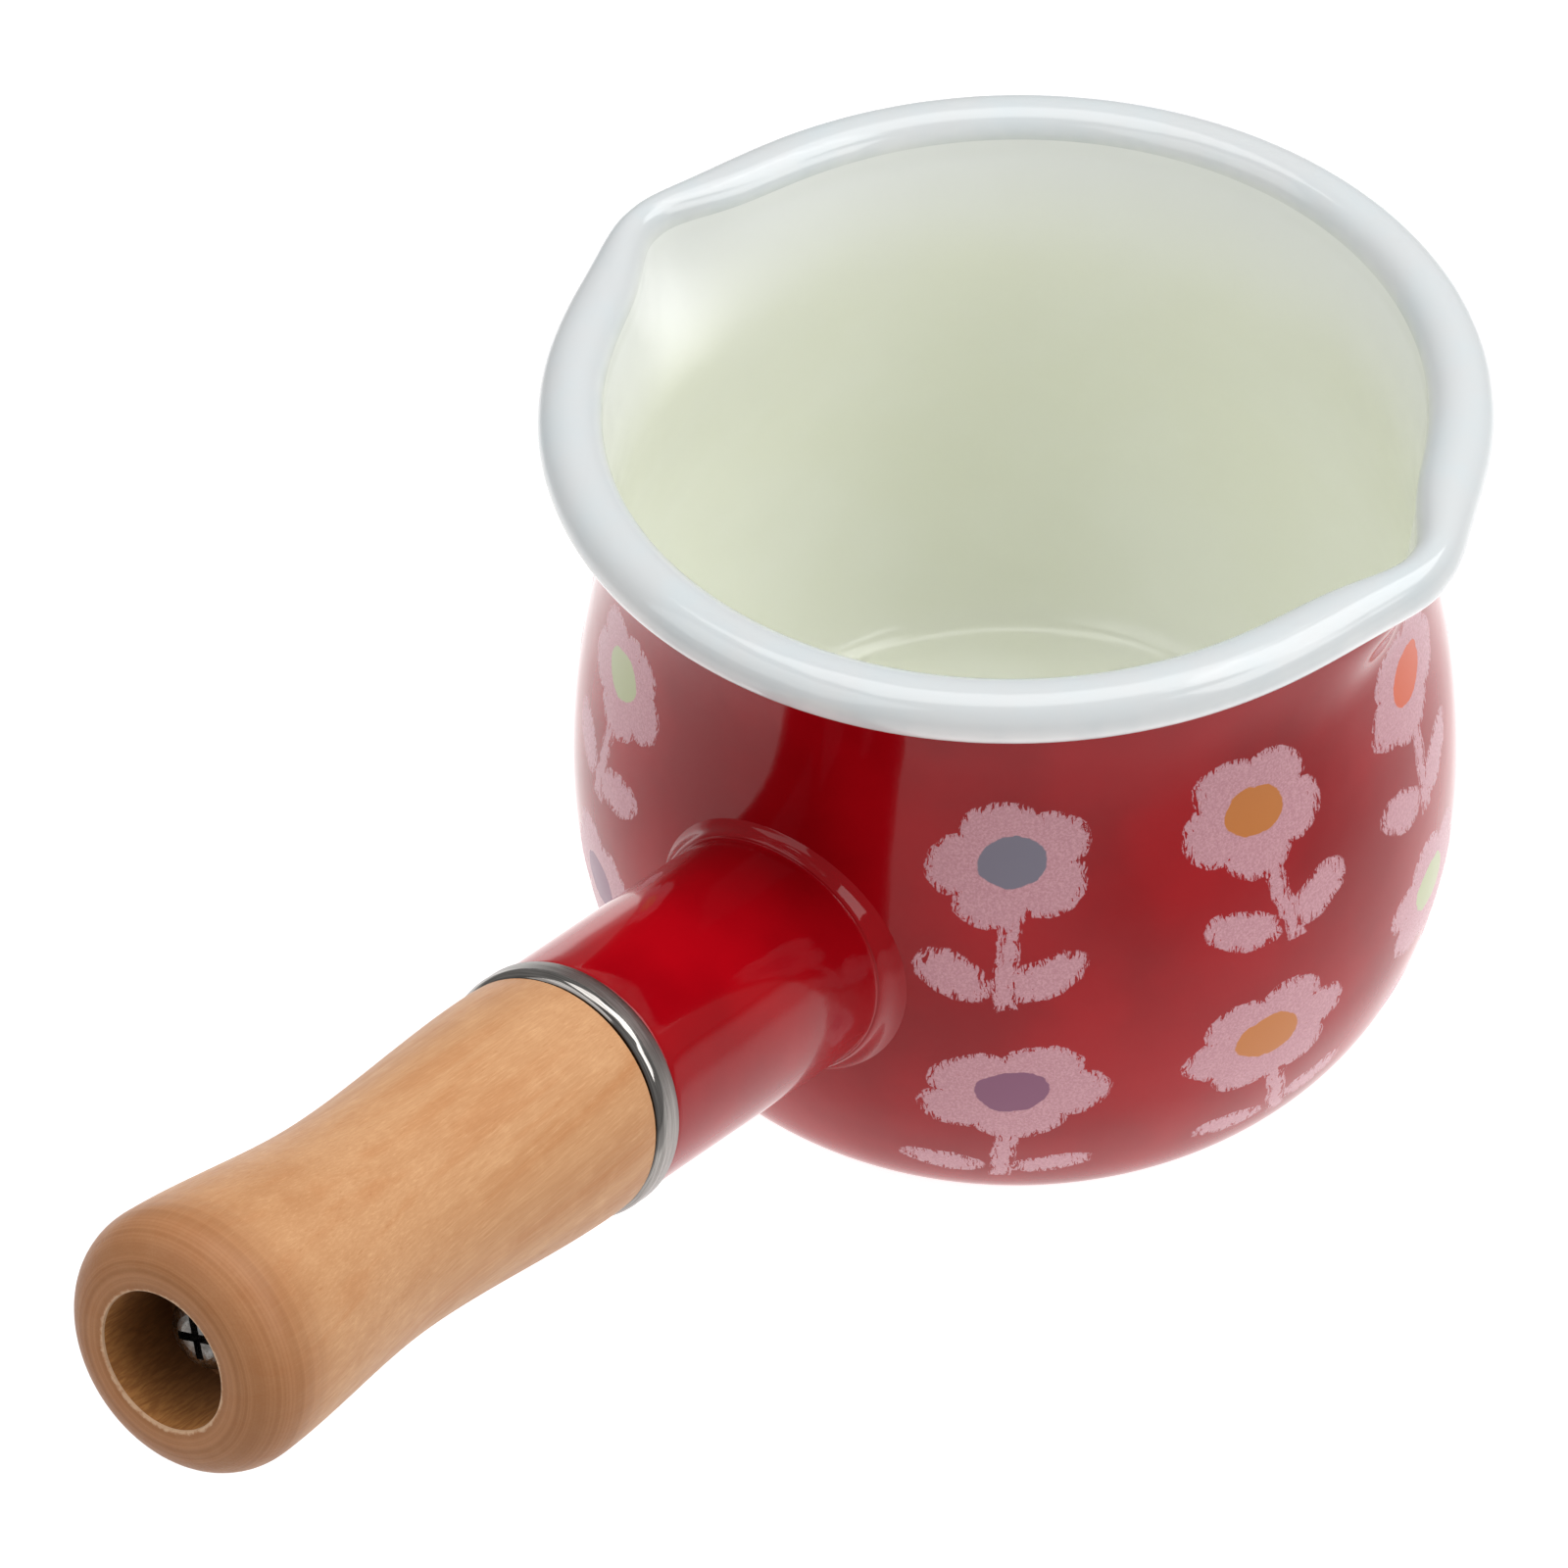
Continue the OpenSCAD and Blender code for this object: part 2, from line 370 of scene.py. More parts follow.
RED = rgb(160, 4, 16)
RED_DEEP = rgb(138, 2, 12)
PINK = rgb(203, 154, 162)
PINK_DARK = rgb(184, 132, 141)
# Grey of painted shade on the crown of the rim; the white for its lower side is the rim's own
# colour
RIM_CROWN_SHADE = rgb(199, 202, 203)
RIM_WHITE_LOW = rgb(240, 242, 242)
RIM_BLUE = rgb(193, 204, 208)
CREAM = rgb(243, 245, 232)
CREAM_PALE = rgb(246, 248, 239)
NECK_WHITE = rgb(247, 249, 249)
ENAMEL_SPECK = rgb(96, 92, 78)
WOOD_DARK = rgb(186, 136, 94)
WOOD_PALE = rgb(200, 153, 111)
WOOD_BAND = rgb(182, 122, 76)
WOOD_FLECK = rgb(172, 114, 70)
WOOD_MOTTLE = rgb(222, 178, 134)
FIBRE_DARK = rgb(160, 104, 62)
FIBRE_PALE = rgb(232, 192, 148)
END_DARK = rgb(144, 93, 58)
END_PALE = rgb(166, 114, 78)
FRAYED_WOOD = rgb(226, 196, 164)
BORE_DARK = rgb(140, 88, 36)
BORE_PALE = rgb(172, 116, 58)
# Painted shade at the floor of the bored well
BORE_SHADE = rgb(96, 58, 26)
BORE_BLOTCH = rgb(150, 96, 44)
STEEL_DARK = rgb(118, 114, 111)
STEEL_PALE = rgb(172, 168, 164)
GAP_SHADOW = rgb(34, 28, 25)
PLATED_DARK = rgb(104, 102, 100)
PLATED_PALE = rgb(168, 166, 163)
EYES = (
    rgb(206, 84, 40),
    rgb(118, 114, 128),
    rgb(132, 84, 110),
    rgb(176, 182, 140),
    rgb(190, 116, 56),
    rgb(172, 66, 62),
)


def enamel_bump(shader, wave=60.0, depth=0.00012):
    """The faint unevenness of fired enamel."""
    soft = shader.noise(wave, 2.0, 0.45)
    fine = shader.noise(900.0, 1.0)
    height = shader.plus(soft, shader.times(fine, 0.02))
    shader.set("Normal", shader.bump(height, depth))


def fired_red(s):
    """Colour of the red enamel, deeper in soft patches."""
    shade = s.ramp(s.noise(38.0, 3.0), 0.3, 0.7)
    return s.mix(shade, RED_DEEP, RED)


def red_enamel():
    s = Shader("red_enamel", Roughness=0.06, IOR=1.335)
    s.set("Base Color", fired_red(s))
    enamel_bump(s)
    return s


def leaf(s, x, y, at, size, tilt):
    """How deep a point is inside an almond leaf, in millimetres."""
    turn, lean = math.cos(tilt), math.sin(tilt)
    dx, dy = s.minus(x, at[0]), s.minus(y, at[1])
    along = s.plus(s.times(dx, turn / size[0]), s.times(dy, lean / size[0]))
    across = s.plus(s.times(dx, -lean / size[1]), s.times(dy, turn / size[1]))
    length = s.math("POWER", s.math("ABSOLUTE", along), 2.4)
    reach = s.math("SQRT", s.plus(length, s.times(across, across)))
    return s.times(s.minus(1.0, reach), size[1])


def flower_row(s, angle, height, row, seed, leaves):
    """Depth inside the row's flowers and eyes, in millimetres, and a random number for each."""
    turns = s.times(angle, PRINT_COLUMNS / (2 * math.pi))
    column = s.math("ROUND", turns)
    key = s.joined(column, seed, 0.0)
    dice = s.add("ShaderNodeTexWhiteNoise", {"Vector": key}, noise_dimensions="3D").outputs[1]
    first, second, third = s.axes(dice)
    x = s.times(s.minus(turns, column), 2 * math.pi / PRINT_COLUMNS * PRINT_RADIUS)
    y = s.minus(height, row)
    lean = s.times(s.minus(first, 0.5), 0.34)
    x = s.plus(x, s.times(y, lean))
    petals = s.plus(5.0, s.math("ROUND", second))
    wide = s.times(x, s.ramp(third, 0.0, 1.0, 0.86, 0.98))
    tall = s.times(y, s.ramp(third, 0.0, 1.0, 1.12, 1.0))
    reach = s.math("SQRT", s.plus(s.times(wide, wide), s.times(tall, tall)))
    around = s.plus(s.math("ARCTAN2", tall, wide), s.times(second, 1.9))
    scallop = s.math("ABSOLUTE", s.math("COSINE", s.times(around, s.times(petals, 0.5))))
    edge = s.plus(FLOWER_RADIUS, s.times(s.math("POWER", scallop, 0.6), PETAL_LENGTH))
    head = s.minus(edge, reach)
    stem_half = s.minus(STEM_HALF_WIDTH, s.math("ABSOLUTE", s.plus(x, s.times(y, 0.05))))
    stem_length = s.math("MINIMUM", s.minus(0.0, y), s.plus(y, leaves["foot"]))
    stem = s.math("MINIMUM", stem_half, stem_length)
    body = s.math("MAXIMUM", head, stem)
    for side in (-1, 1):
        at = (side * leaves["out"], -leaves["down"])
        blade = leaf(s, x, y, at, leaves["size"], side * leaves["tilt"])
        body = s.math("MAXIMUM", body, blade)
    eye_x, eye_y = s.times(x, 1 / EYE_WIDTH), s.times(s.minus(y, 0.4), 1 / EYE_HEIGHT)
    eye_reach = s.math("SQRT", s.plus(s.times(eye_x, eye_x), s.times(eye_y, eye_y)))
    eye = s.times(s.minus(1.0, eye_reach), 4.5)
    used = s.math("GREATER_THAN", s.math("ABSOLUTE", column), 0.5)
    body = s.minus(body, s.times(s.minus(1.0, used), 50.0))
    eye = s.minus(eye, s.times(s.minus(1.0, used), 50.0))
    return body, eye, s.math("FRACT", s.plus(s.times(first, 3.7), second))


def printed_enamel():
    """Red enamel with rows of loosely painted flowers fired over it."""
    s = Shader("printed_enamel", IOR=1.31)
    x, y, z = s.axes()
    wobble = s.minus(s.noise(150.0, 3.0, 0.6), 0.5)
    angle = s.plus(s.math("ARCTAN2", s.times(y, -1.0), s.times(x, -1.0)), 0.03)
    angle = s.plus(angle, s.times(wobble, 0.035))
    height = s.plus(s.times(z, 1 / MM), s.times(s.minus(s.noise(170.0, 3.0, 0.6), 0.5), 2.2))
    upper = flower_row(
        s, angle, height, UPPER_ROW, 3.0,
        {"foot": 25.0, "out": 6.6, "down": 19.0, "size": (6.4, 3.6), "tilt": 0.5},
    )
    lower = flower_row(
        s, angle, height, LOWER_ROW, 11.0,
        {"foot": 23.0, "out": 7.6, "down": 18.6, "size": (6.2, 2.6), "tilt": 0.16},
    )
    body = s.math("MAXIMUM", upper[0], lower[0])
    eye = s.math("MAXIMUM", upper[1], lower[1])
    is_lower = s.math("GREATER_THAN", lower[0], upper[0])
    pick = s.plus(s.times(lower[2], is_lower), s.times(upper[2], s.minus(1.0, is_lower)))
    rough_edge = s.times(s.minus(s.noise(800.0, 4.0, 0.75), 0.5), 1.0)
    dry = s.ramp(body, 0.0, 3.0, 0.62, 0.80)
    grain = s.noise(1500.0, 3.0, 0.75)
    strands = s.joined(s.times(angle, PRINT_RADIUS * 1.5), s.times(height, 0.3), 0.0)
    brush = s.plus(s.noise(1.0, 3.0, 0.7, strands, 1.2), s.ramp(body, 0.2, 2.2, 0.1, -0.1))
    skipped = s.math("MAXIMUM", s.ramp(s.minus(grain, dry), -0.01, 0.03), s.ramp(brush, 0.6, 0.63))
    painted = s.times(s.ramp(s.plus(body, rough_edge), -0.12, 0.16), s.minus(1.0, skipped))
    in_eye = s.ramp(s.plus(eye, s.times(rough_edge, 0.4)), -0.1, 0.12)
    speck = s.ramp(s.noise(2600.0, 2.0, 0.7), 0.35, 0.7)
    pink = s.mix(speck, PINK_DARK, PINK)
    palette = s.add("ShaderNodeValToRGB", {0: pick})
    palette.color_ramp.interpolation = "CONSTANT"
    stops = palette.color_ramp.elements
    stops[0].color = EYES[0]
    stops[1].position, stops[1].color = 1 / len(EYES), EYES[1]
    for i, colour in enumerate(EYES[2:], 2):
        stops.new(i / len(EYES)).color = colour
    colour = s.mix(painted, fired_red(s), pink)
    s.set("Base Color", s.mix(in_eye, colour, palette.outputs[0]))
    s.set("Roughness", s.ramp(painted, 0.0, 1.0, 0.07, 0.26))
    enamel_bump(s)
    return s


def rim_enamel():
    """Cool white enamel in soft blue-grey patches, with painted shade greying the crown of the
    roll.
    """
    s = Shader("rim_enamel", Roughness=0.12, IOR=1.5)
    _, _, z = s.axes()
    # Painted shade: the crown of the roll is greyed, the lower side stays white
    crown_shade = s.ramp(z, (POT_HEIGHT - 5.0) * MM, (POT_HEIGHT - 0.8) * MM)
    patch = s.ramp(s.noise(70.0, 3.0, 0.6), 0.35, 0.75)
    white = s.mix(crown_shade, RIM_WHITE_LOW, RIM_CROWN_SHADE)
    s.set("Base Color", s.mix(s.times(patch, 0.5), white, RIM_BLUE))
    enamel_bump(s, 80.0, 0.0002)
    return s


def inside_enamel():
    """Pale green-cream enamel with a few dark specks, fading to white at the neck."""
    s = Shader("inside_enamel", Roughness=0.14, IOR=1.5)
    _, _, z = s.axes()
    tone = s.ramp(s.noise(28.0, 3.0), 0.3, 0.75)
    cream = s.mix(tone, CREAM, CREAM_PALE)
    near_rim = s.ramp(s.plus(z, s.times(s.noise(60.0), 4 * MM)), *NECK_FADE)
    colour = s.mix(near_rim, cream, NECK_WHITE)
    cells = s.add("ShaderNodeTexVoronoi", {"Vector": s.place, "Scale": 75.0}).outputs["Distance"]
    rare = s.math("GREATER_THAN", s.noise(45.0, 0.0), 0.56)
    speck = s.times(s.math("LESS_THAN", cells, 0.03), rare)
    s.set("Base Color", s.mix(s.times(speck, 0.6), colour, ENAMEL_SPECK))
    enamel_bump(s, 50.0, 0.0002)
    return s


def lacquered_wood():
    """Pale close-grained wood, lacquered; the pattern's Z runs along the grip."""
    s = Shader("lacquered_wood", IOR=1.5)
    s.along_handle()
    s.set("Specular IOR Level", 0.1)
    s.set("Coat Weight", 0.05)
    s.set("Coat Roughness", 0.25)
    x, y, z = s.axes()
    leaning = s.joined(s.plus(x, s.times(z, 0.16)), s.plus(y, s.times(z, -0.05)), z)
    broad = s.noise(1.0, 3.0, 0.55, s.scaled(leaning, (150.0, 110.0, 11.0)), 0.6)
    bands = s.noise(1.0, 2.0, 0.5, s.scaled(leaning, (420.0, 300.0, 9.0)), 0.3)
    fleck = s.noise(1.0, 2.0, 0.6, s.scaled(leaning, (2600.0, 2600.0, 330.0)))
    mottle = s.noise(240.0, 3.0, 0.6)
    base = s.mix(s.ramp(broad, 0.3, 0.72), WOOD_DARK, WOOD_PALE)
    base = s.mix(s.times(s.ramp(bands, 0.5, 0.72), 0.42), base, WOOD_BAND)
    base = s.mix(s.times(s.ramp(fleck, 0.58, 0.8), 0.4), base, WOOD_FLECK)
    base = s.mix(s.times(s.ramp(mottle, 0.45, 0.8), 0.25), base, WOOD_MOTTLE)
    fibre = s.noise(1.0, 4.0, 0.75, s.scaled(leaning, (3800.0, 3800.0, 150.0)))
    base = s.mix(s.ramp(fibre, 0.36, 0.62, 0.2, 0.0), base, FIBRE_DARK)
    base = s.mix(s.ramp(fibre, 0.54, 0.76, 0.0, 0.26), base, FIBRE_PALE)
    uneven_z = s.plus(z, s.times(s.minus(mottle, 0.5), 4 * MM))
    end = s.ramp(uneven_z, (GRIP_END - 13) * MM, (GRIP_END - 3) * MM)
    radius = s.math("SQRT", s.plus(s.times(x, x), s.times(y, y)))
    rings = s.noise(1.0, 3.0, 0.6, s.joined(s.times(radius, 1500.0), s.times(z, 900.0), 0.0))
    worn = s.mix(s.ramp(rings, 0.35, 0.7), END_DARK, END_PALE)
    base = s.mix(s.times(end, 0.75), base, worn)
    bore = s.plus(radius, s.times(s.minus(s.noise(900.0, 3.0, 0.7), 0.5), 0.0012))
    frayed = s.ramp(bore, (WELL_RADIUS + 0.1) * MM, (WELL_RADIUS + 0.5) * MM, 0.55, 0.0)
    s.set("Base Color", s.mix(s.times(frayed, end), base, FRAYED_WOOD))
    s.set("Roughness", s.ramp(fleck, 0.3, 0.8, 0.36, 0.5))
    height = s.plus(s.times(fleck, -0.5), s.times(s.times(rings, end), 0.6))
    s.set("Normal", s.bump(height, 0.00008))
    return s


def bored_wood():
    """Dark raw wood inside the bored well, with painted shade darkening it towards the well's
    floor.
    """
    s = Shader("bored_wood", Roughness=0.8)
    s.along_handle()
    _, _, z = s.axes()
    fibre = s.noise(1.0, 3.0, 0.6, s.scaled(s.place, (2400.0, 2400.0, 420.0)))
    blotch = s.noise(300.0, 3.0)
    base = s.mix(s.ramp(fibre, 0.35, 0.7), BORE_DARK, BORE_PALE)
    # Painted shade: the well darkens towards its floor
    well_shade = s.ramp(z, (GRIP_END - WELL_DEPTH) * MM, (GRIP_END - 0.3) * MM, 1.0, 0.0)
    base = s.mix(s.times(well_shade, 0.7), base, BORE_SHADE)
    s.set("Base Color", s.mix(s.times(s.ramp(blotch, 0.5, 0.8), 0.3), base, BORE_BLOTCH))
    s.set("Normal", s.bump(fibre, 0.00015))
    return s


def ferrule_steel():
    """Polished on the shoulder, brushed round the band."""
    s = Shader("ferrule_steel", Metallic=1.0)
    s.along_handle()
    x, y, z = s.axes()
    turn = s.joined(s.times(s.math("ARCTAN2", y, x), 2.0), 0.0, s.times(z, 9000.0))
    brush = s.noise(1.0, 3.0, 0.7, turn)
    steel = s.mix(s.ramp(brush, 0.3, 0.7), STEEL_DARK, STEEL_PALE)
    radius = s.math("SQRT", s.plus(s.times(x, x), s.times(y, y)))
    gap = s.ramp(radius, (FERRULE_RADIUS - 1.1) * MM, (FERRULE_RADIUS - 0.55) * MM, 1.0, 0.0)
    s.set("Base Color", s.mix(s.times(gap, s.ramp(z, 2.6 * MM, 3.4 * MM)), steel, GAP_SHADOW))
    band = s.ramp(z, 2.3 * MM, 3.0 * MM, 1.0, 0.0)
    s.set("Roughness", s.plus(0.1, s.times(band, s.ramp(brush, 0.3, 0.7, 0.2, 0.34))))
    s.set("Normal", s.bump(s.times(brush, band), 0.00002))
    return s


def plated_steel():
    """Zinc-plated fixings with faint handling marks."""
    s = Shader("plated_steel", Metallic=1.0)
    cloud = s.noise(420.0, 3.0, 0.6)
    s.set("Base Color", s.mix(s.ramp(cloud, 0.3, 0.7), PLATED_DARK, PLATED_PALE))
    s.set("Roughness", s.ramp(s.noise(1800.0, 2.0), 0.3, 0.7, 0.18, 0.34))
    s.set("Normal", s.bump(s.noise(900.0, 2.0), 0.00003))
    return s


# ---------------------------------------------------------------- pieces


def spout_share(angle):
    """How strongly a spout shapes the pot at an angle, from 0 to 1."""
    share = 0.0
    for middle in (90 + SPOUT_TURN, -90 + SPOUT_TURN):
        off = abs((math.degrees(angle) - middle + 180) % 360 - 180)
        off = math.hypot(off, SPOUT_ROUNDING) - SPOUT_ROUNDING
        share = max(share, math.exp(-((off / SPOUT_HALF_ANGLE) ** SPOUT_SHARPNESS)))
    return share


def pot_profile():
    """Points (radius, height, push, section) from under the base, over the rim, to the inside."""
    inner_push = SPOUT_REACH + BEAD_WIDTH - SPOUT_BEAD_WIDTH

    def wall_push(height):
        return inner_push * smoothstep((height - SPOUT_FOOT) / (SPOUT_FULL - SPOUT_FOOT))

    points = [(BASE_RADIUS * i / FLAT_RINGS, 0.0, 0.0, 0) for i in range(1, FLAT_RINGS)]
    start = math.acos((NECK_RADIUS + 0.35 - BEAD_CENTRE) / (BEAD_WIDTH / 2))
    meeting = BEAD_HEIGHT - BEAD_DEPTH / 2 * math.sin(start)
    for radius, height in OUTER_LINE:
        if height < meeting - 0.5:
            points.append((radius, height, wall_push(height), 0))
    for i in range(ROLL_STEPS + 1):
        angle = -start + (math.pi + start) * i / ROLL_STEPS
        share = (1 - math.cos(angle)) / 2
        push = SPOUT_REACH + (inner_push - SPOUT_REACH) * share
        radius = BEAD_CENTRE + BEAD_WIDTH / 2 * math.cos(angle)
        height = BEAD_HEIGHT + BEAD_DEPTH / 2 * math.sin(angle)
        points.append((radius, height, push, 1))
    for radius, height in reversed(moved_inwards(OUTER_LINE, WALL)):
        if height < BEAD_HEIGHT - 1.5:
            points.append((radius, height, wall_push(height), 2))
    inside_floor = BASE_RADIUS - 1.0
    points += [(inside_floor * i / FLAT_RINGS, WALL, 0.0, 2) for i in range(FLAT_RINGS - 1, 0, -1)]
    return points


def make_pot():
    profile = pot_profile()
    rows = []
    for radius, height, push, _ in profile:
        row = []
        for i in range(POT_STEPS):
            angle = 2 * math.pi * i / POT_STEPS
            reach = (radius + push * spout_share(angle)) * MM
            row.append((reach * math.cos(angle), reach * math.sin(angle), height * MM))
        rows.append(row)
    bm = bmesh.new()
    rings = skin_rows(bm, rows, [point[3] for point in profile[1:]])
    cap(bm, rings[0], 0)
    cap(bm, rings[-1], 2)
    materials = [printed_enamel().material, rim_enamel().material, inside_enamel().material]
    new_piece("pot_shell", bm, "pot", ["pot_body"], materials)


def socket_point(angle, station, radius):
    """Point on the handle's own axes, in the row frame, in millimetres."""
    side = HANDLE_UP * math.cos(angle) + HANDLE_SIDE * math.sin(angle)
    return MOUTH + HANDLE_OUT * station + side * radius


def wall_station(angle, offset):
    """Station at which a line along the socket, offset from its surface, meets the pot."""
    near, far = -30.0, -80.0
    for _ in range(30):
        middle = (near + far) / 2
        point = socket_point(angle, middle, SOCKET_RADIUS - SOCKET_GROWTH * middle + offset)
        if math.hypot(point.x, point.y) > outer_radius(point.z):
            near = middle
        else:
            far = middle
    return near


def make_socket():
    """Tube with a rounded weld collar that follows the pot's side."""
    collar = (
        (3.4, 0.0), (2.5, 0.0), (2.0, 0.03), (1.75, 0.12), (1.78, 0.28), (1.75, 0.45),
        (1.55, 0.7), (1.2, 0.95), (0.82, 1.2), (0.5, 1.5), (0.24, 1.85), (0.05, 2.3), (-0.25, 2.7),
    )
    angles = [2 * math.pi * i / SOCKET_STEPS for i in range(SOCKET_STEPS)]

    def ring(station_at, offset):
        row = []
        for angle in angles:
            station = station_at(angle)
            radius = SOCKET_RADIUS - SOCKET_GROWTH * station + offset
            row.append(socket_point(angle, station, radius) * MM)
        return row

    def tube_end(angle):
        return wall_station(angle, 0.0) + COLLAR_START + COLLAR_SLANT * (1 - math.cos(angle))

    def collar_station(angle, ahead, offset):
        growth = COLLAR_GROWTH * max(ahead, 0.0)
        return wall_station(angle, offset) + ahead + growth * (1 - math.cos(angle))

    rows = [ring(lambda a: wall_station(a, -SOCKET_WALL) - 0.1, -SOCKET_WALL)]
    for station in (-30.0, -12.0, -2.0, -0.5):
        rows.append(ring(lambda a, s=station: s, -SOCKET_WALL))
    tube_start = -2.0
    lip = (
        (-0.32, -SOCKET_WALL + 0.18), (-0.3, -0.75), (-0.36, -0.2), (-0.7, 0.0), (tube_start, 0.0),
    )
    for station, offset in lip:
        rows.append(ring(lambda a, s=station: s, offset))
    for share in (0.25, 0.5, 0.75, 0.95):
        rows.append(ring(lambda a, t=share: tube_start + (tube_end(a) - tube_start) * t, 0.0))
    for ahead, offset in collar:
        rows.append(ring(lambda a, e=ahead, h=offset: collar_station(a, e, h), offset))
    bm = bmesh.new()
    skin_rows(bm, rows, [0] * len(rows))
    piece = new_piece(
        "socket_tube", bm, "pot", ["handle_socket"], [red_enamel().material]
    )
    smooth = piece.modifiers.new("smooth", "SUBSURF")
    smooth.levels = smooth.render_levels = 1


def crisp_edges(piece):
    """Keeps hard corners hard on a smooth-shaded piece."""
    piece.data.set_sharp_from_angle(angle=math.radians(38))


def make_ferrule():
    profile = [(SHAFT_HOLE_RADIUS, 0.0, 0), (SHAFT_HOLE_RADIUS, FERRULE_WEB, 0)]
    profile += [(TENON_RADIUS + 0.1, FERRULE_WEB, 0), (TENON_RADIUS + 0.1, FERRULE_LENGTH - 0.1, 0)]
    profile += [(TENON_RADIUS + 0.2, FERRULE_LENGTH, 0)]
    for i in range(13):
        angle = math.pi / 2 * (1 - i / 12)
        radius = FERRULE_RADIUS - FERRULE_ROUND * (1 - math.cos(angle))
        station = FERRULE_LENGTH - FERRULE_ROUND * (1 - math.sin(angle))
        profile.append((radius, station, 0))
    profile += [(FERRULE_RADIUS, 1.2, 0), (FERRULE_RADIUS, 0.25, 0)]
    profile += [(FERRULE_RADIUS - 0.08, 0.06, 0), (FERRULE_RADIUS - 0.25, 0.0, 0)]
    profile += [(SPIGOT_RADIUS + 0.1, 0.0, 0), (SPIGOT_RADIUS, -0.1, 0)]
    profile += [(SPIGOT_RADIUS, -SPIGOT_LENGTH + 0.2, 0), (SPIGOT_RADIUS - 0.2, -SPIGOT_LENGTH, 0)]
    bore = SPIGOT_RADIUS - SPIGOT_WALL
    profile += [(bore, -SPIGOT_LENGTH, 0), (bore, 0.0, 0)]
    profile.append(profile[0])
    bm = bmesh.new()
    skin_rows(bm, lathe(profile, HANDLE_STEPS), [0] * len(profile))
    bmesh.ops.remove_doubles(bm, verts=bm.verts, dist=SAME_POINT)
    materials = [ferrule_steel().material]
    piece = new_piece(
        "ferrule_ring", bm, "grip", ["ferrule"], materials, HANDLE_MATRIX
    )
    crisp_edges(piece)


def make_grip():
    profile = [(SHAFT_HOLE_RADIUS, FERRULE_WEB, 1), (TENON_RADIUS, FERRULE_WEB, 0)]
    profile += [(TENON_RADIUS, GRIP_START, 0), (GRIP_ROOT[1] - 0.35, GRIP_START, 0)]
    profile += [(GRIP_ROOT[1] - 0.08, GRIP_START + 0.12, 0)]
    for a, b, steps in ((GRIP_ROOT, GRIP_WAIST, 24), (GRIP_WAIST, GRIP_SWELL, 20)):
        profile += [(radius, station, 0) for radius, station in curve_between(a, b, steps)]
    for i in range(1, 17):
        angle = math.pi / 2 * i / 16
        radius = GRIP_FACE_RADIUS + (GRIP_SWELL[1] - GRIP_FACE_RADIUS) * math.cos(angle)
        station = GRIP_SWELL[0] + (GRIP_END - GRIP_SWELL[0]) * math.sin(angle)
        profile.append((radius, station, 0))
    profile += [(WELL_RADIUS + 0.35, GRIP_END, 0), (WELL_RADIUS + 0.1, GRIP_END - 0.08, 0)]
    floor = GRIP_END - WELL_DEPTH
    profile += [(WELL_RADIUS, GRIP_END - 0.35, 0), (WELL_RADIUS, GRIP_END - 4, 1)]
    profile += [(WELL_RADIUS, floor + 0.3, 1), (WELL_RADIUS - 0.3, floor, 1)]
    profile += [(SHAFT_HOLE_RADIUS, floor, 1), (SHAFT_HOLE_RADIUS, FERRULE_WEB, 1)]
    bm = bmesh.new()
    skin_rows(bm, lathe(profile, HANDLE_STEPS), [point[2] for point in profile[1:]])
    bmesh.ops.remove_doubles(bm, verts=bm.verts, dist=SAME_POINT)
    materials = [lacquered_wood().material, bored_wood().material]
    piece = new_piece(
        "turned_grip", bm, "grip", ["wooden_grip"], materials, HANDLE_MATRIX
    )
    crisp_edges(piece)


def dress_fixings():
    """The CAD fixings keep their shapes and get plated steel."""
    steel = plated_steel().material
    for name in ("socket_bracket", "bracket_nut", "flat_washer", "spring_washer", "handle_screw"):
        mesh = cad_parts[name].data
        if not mesh.materials:
            mesh.materials.append(steel)
        for i in range(len(mesh.materials)):
            mesh.materials[i] = steel


# ---------------------------------------------------------------- studio


def grey(level):
    return (level, level, level, 1.0)


def make_floor():
    """Pale floor, darker below the pot and far away, with a glow that grows to one side."""
    s = Shader("studio_floor", Roughness=0.9)
    tone = s.ramp(s.noise(0.7, 1.0), 0.3, 0.7)
    x, y, _ = s.axes()
    far = s.math("SQRT", s.plus(s.times(x, x), s.times(y, y)))
    near = s.mix(tone, grey(0.86), grey(0.9))
    near = s.mix(s.ramp(far, 0.08, 0.16, 1.0, 0.0), near, grey(0.6))
    shaded = s.math("MAXIMUM", s.ramp(far, 0.3, 0.6), s.ramp(y, -0.21, -0.14, 1.0, 0.0))
    s.set("Base Color", s.mix(shaded, near, grey(0.6)))
    s.set("Emission Color", WHITE)
    aside = s.plus(s.times(x, 0.55), s.times(y, 0.84))
    near_pot = s.ramp(far, 0.07, 0.17, 0.7, 0.0)
    glow = s.plus(s.ramp(aside, -0.05, 0.35, 0.2, 0.75), near_pot)
    s.set("Emission Strength", s.times(glow, s.minus(1.0, s.times(shaded, 0.8))))
    bpy.ops.mesh.primitive_plane_add(size=8.0, location=(0.0, 0.0, -0.0005))
    floor = bpy.context.object
    floor.name = "studio_floor"
    floor.data.materials.append(s.material)


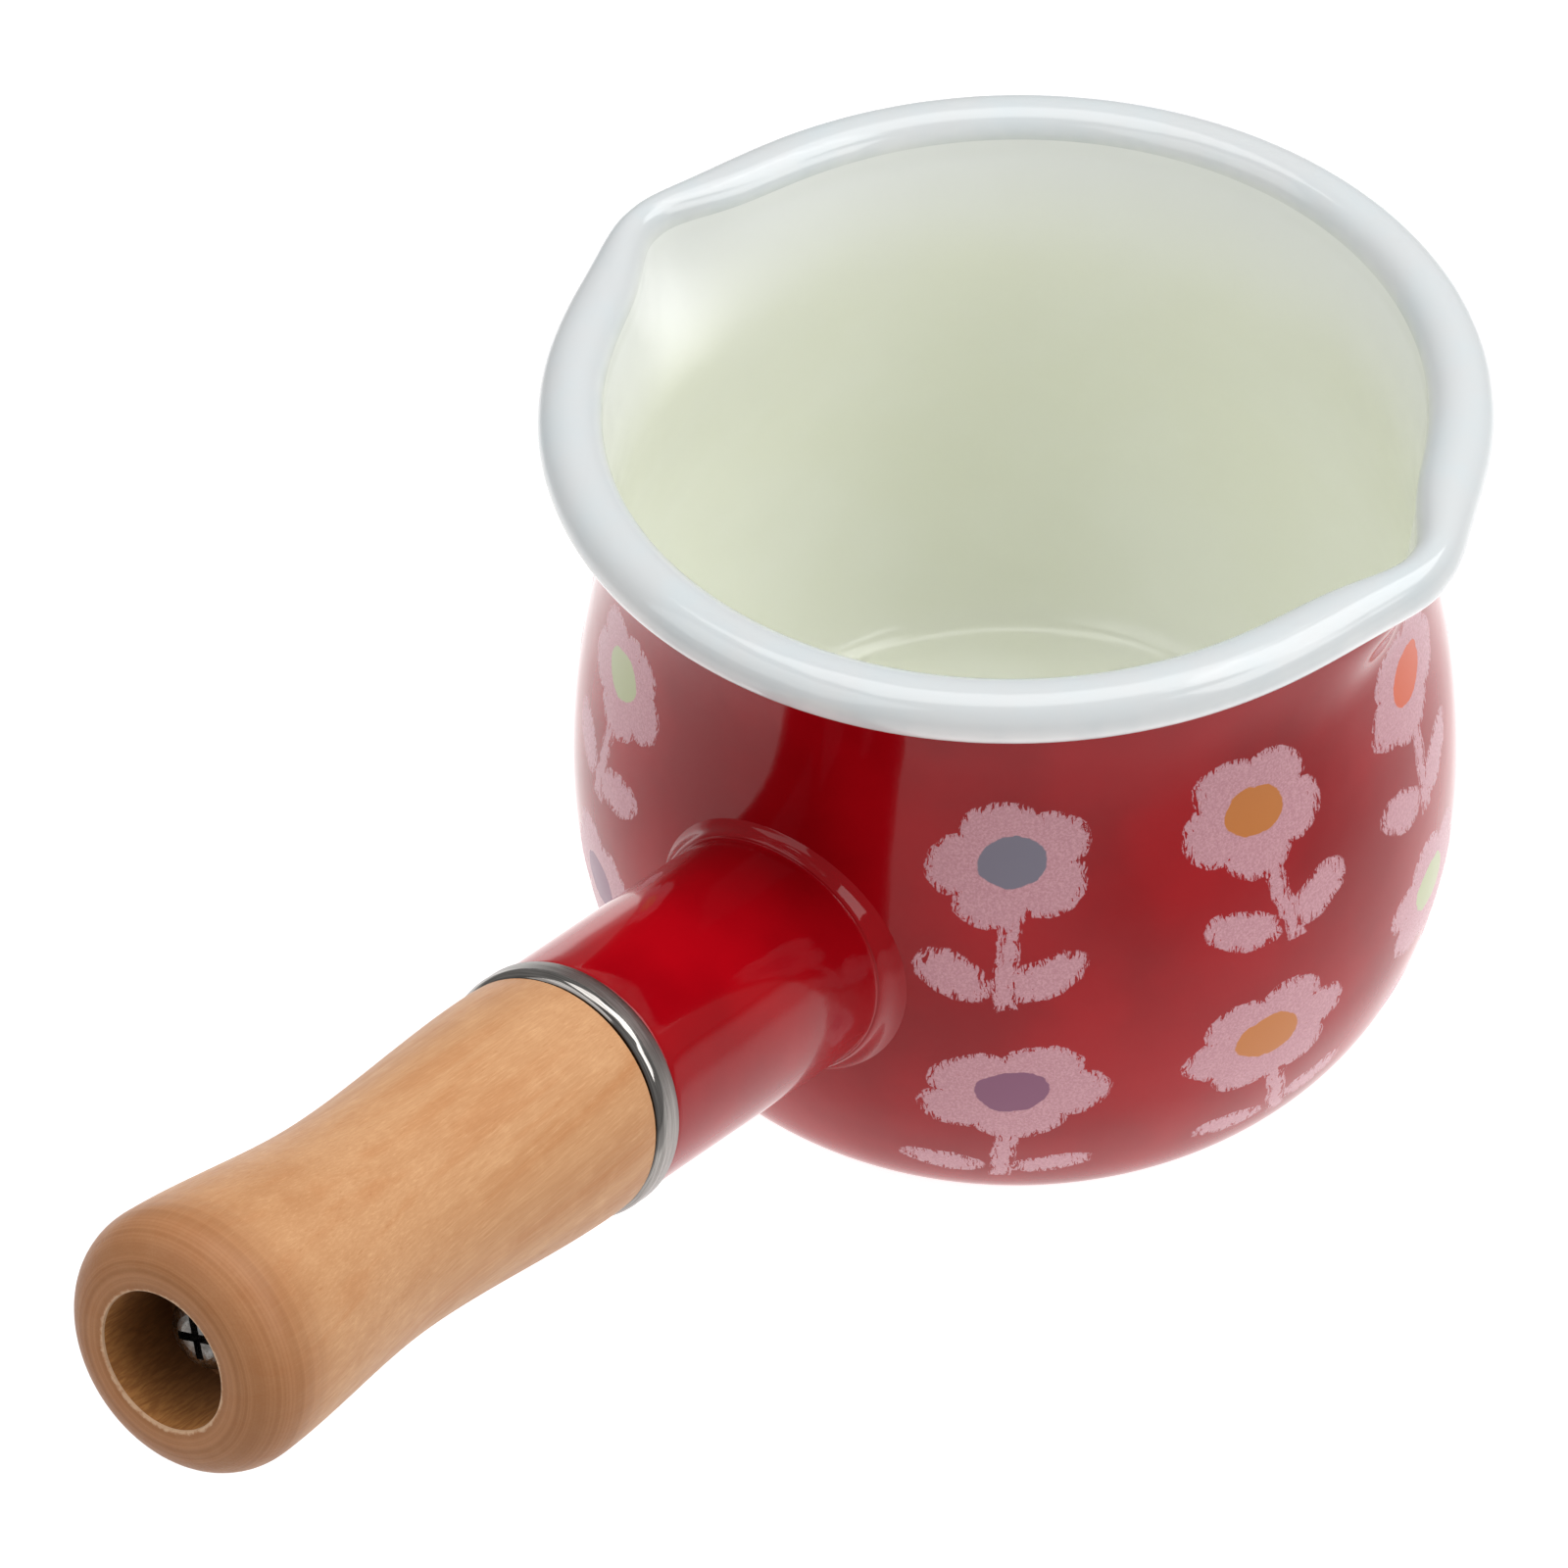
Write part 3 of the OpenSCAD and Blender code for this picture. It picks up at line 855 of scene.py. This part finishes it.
def add_softbox(name, azimuth, elevation, distance, size, power):
    """Area light that faces the pot; azimuth is measured in the row frame from +X."""
    data = bpy.data.lights.new(name, "AREA")
    data.shape = "RECTANGLE"
    data.size, data.size_y = size
    data.energy = power
    light = bpy.data.objects.new(name, data)
    a, e = math.radians(azimuth), math.radians(elevation)
    away = Vector((math.cos(a) * math.cos(e), math.sin(a) * math.cos(e), math.sin(e)))
    light.location = LIGHTS_AIM + away * distance
    light.rotation_euler = (-away).to_track_quat("-Z", "Y").to_euler()
    bpy.context.scene.collection.objects.link(light)


def make_studio():
    make_floor()
    world = bpy.data.worlds.new("studio")
    bpy.context.scene.world = world
    world.use_nodes = True
    background = world.node_tree.nodes["Background"]
    background.inputs["Color"].default_value = WHITE
    background.inputs["Strength"].default_value = WORLD_STRENGTH
    add_softbox("left_softbox", 150.0, 46.0, 1.1, (0.9, 0.7), 3.0)
    add_softbox("right_softbox", -50.0, 56.0, 1.1, (0.7, 0.7), 6.2)
    add_softbox("front_softbox", -92.0, 38.0, 1.1, (0.5, 0.5), 2.6)
    add_softbox("top_softbox", 40.0, 80.0, 1.2, (0.8, 0.8), 5.4)
    bpy.context.scene.view_settings.view_transform = "Standard"


def make_camera():
    """Looks down on the pot over its handle, with a slight roll."""
    azimuth, elevation, roll = map(math.radians, CAMERA_TURN)
    back = Vector(
        (
            math.sin(azimuth) * math.cos(elevation),
            -math.cos(azimuth) * math.cos(elevation),
            math.sin(elevation),
        )
    )
    right = Vector((0, 0, 1)).cross(back).normalized()
    up = back.cross(right)
    turned_right = right * math.cos(roll) + up * math.sin(roll)
    turned_up = up * math.cos(roll) - right * math.sin(roll)
    data = bpy.data.cameras.new("camera")
    data.sensor_width = 36.0
    data.lens = CAMERA_LENS
    data.clip_start = 0.01
    camera = bpy.data.objects.new("camera", data)
    turn = Matrix((turned_right, turned_up, back)).transposed().to_4x4()
    camera.matrix_world = Matrix.Translation(CAMERA_TARGET + back * CAMERA_DISTANCE) @ turn
    bpy.context.scene.collection.objects.link(camera)
    bpy.context.scene.camera = camera


make_pot()
make_socket()
make_ferrule()
make_grip()
dress_fixings()
make_studio()
make_camera()
